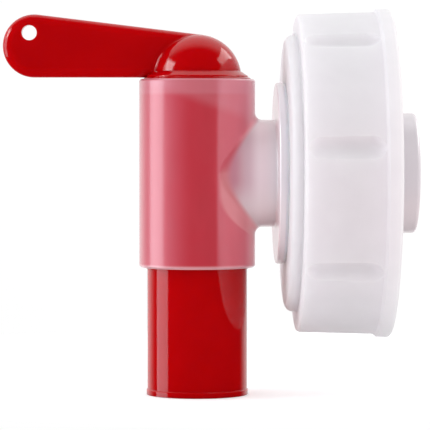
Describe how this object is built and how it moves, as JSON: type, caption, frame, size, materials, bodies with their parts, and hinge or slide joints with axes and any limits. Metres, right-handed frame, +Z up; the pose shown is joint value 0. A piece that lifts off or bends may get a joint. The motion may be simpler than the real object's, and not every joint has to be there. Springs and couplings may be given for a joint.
{
  "type": "canister tap",
  "caption": "Screw-on canister tap: a red lever plug turns in an upright barrel that swivels in a wide ribbed screw cap, with the spout below.",
  "frame": {"origin": "on the screw cap's axis, in the plane where the cap gasket meets the canister's mouth", "axes": "+X along the cap's axis into the canister, +Z up; the spout points to -Z and the lever to -X at rest"},
  "size_m": [0.0906, 0.072, 0.0846],
  "materials": {
    "natural_polyethylene": "natural polyethylene, milky and slightly see-through, moulded satin",
    "nut_polyethylene": "natural polyethylene, satin",
    "red_polyethylene": "red polyethylene, moulded gloss",
    "seal_rubber": "matt rubber",
    "seal_silicone": "clear silicone, satin",
    "gasket_foam": "white closed-cell polyethylene foam, matt"
  },
  "bodies": {
    "cap": {"screw_cap": "natural_polyethylene", "cap_gasket": "gasket_foam"},
    "tap": {"tap_body": "natural_polyethylene", "flange_seal": "seal_silicone", "slip_washer": "nut_polyethylene", "lock_nut": "nut_polyethylene"},
    "plug": {"valve_plug": "red_polyethylene", "plug_o_ring_upper": "seal_rubber", "plug_o_ring_lower": "seal_rubber"}
  },
  "joints": [
    {"name": "cap_swivel", "type": "hinge", "parent": "cap", "child": "tap", "pos_m": [0, 0, 0], "axis": [1, 0, 0], "continuous": true},
    {"name": "lever_turn", "type": "hinge", "parent": "tap", "child": "plug", "pos_m": [-0.0248, 0, 0], "axis": [0, 0, 1], "range_deg": [0, 90]}
  ]
}
